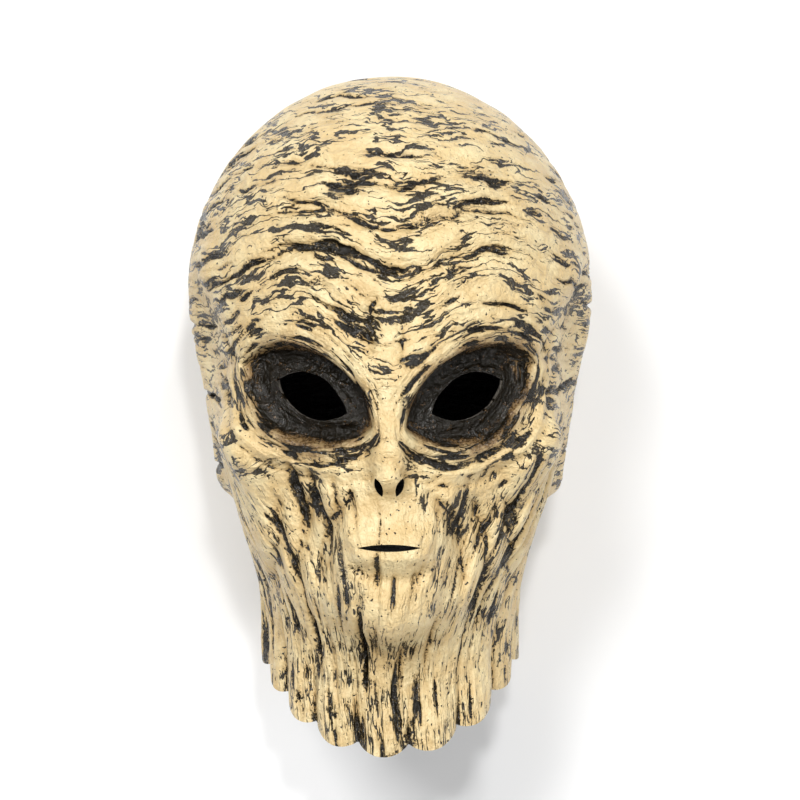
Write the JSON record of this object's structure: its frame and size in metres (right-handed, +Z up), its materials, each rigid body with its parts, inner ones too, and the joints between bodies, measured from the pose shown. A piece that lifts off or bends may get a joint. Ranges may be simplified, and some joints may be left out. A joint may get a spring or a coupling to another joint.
{
  "type": "alien mask",
  "caption": "Full-head pull-over rubber mask of an alien with a tall bare cranium, sunken open eye holes, wrinkled skin and a scalloped neck hem, lying on its back.",
  "frame": {"origin": "under the middle of the bounding box, on the surface the mask lies on", "axes": "+Z up, out of the face; +Y from the neck to the crown of the head; +X to the right of someone who looks down on the face"},
  "size_m": [0.2138, 0.3539, 0.2396],
  "materials": {
    "painted_rubber": "black cast rubber dry-brushed with bone-coloured paint, black in the recesses and inside, semi-gloss"
  },
  "bodies": {
    "root": {"mask_shell": "painted_rubber"}
  },
  "joints": []
}
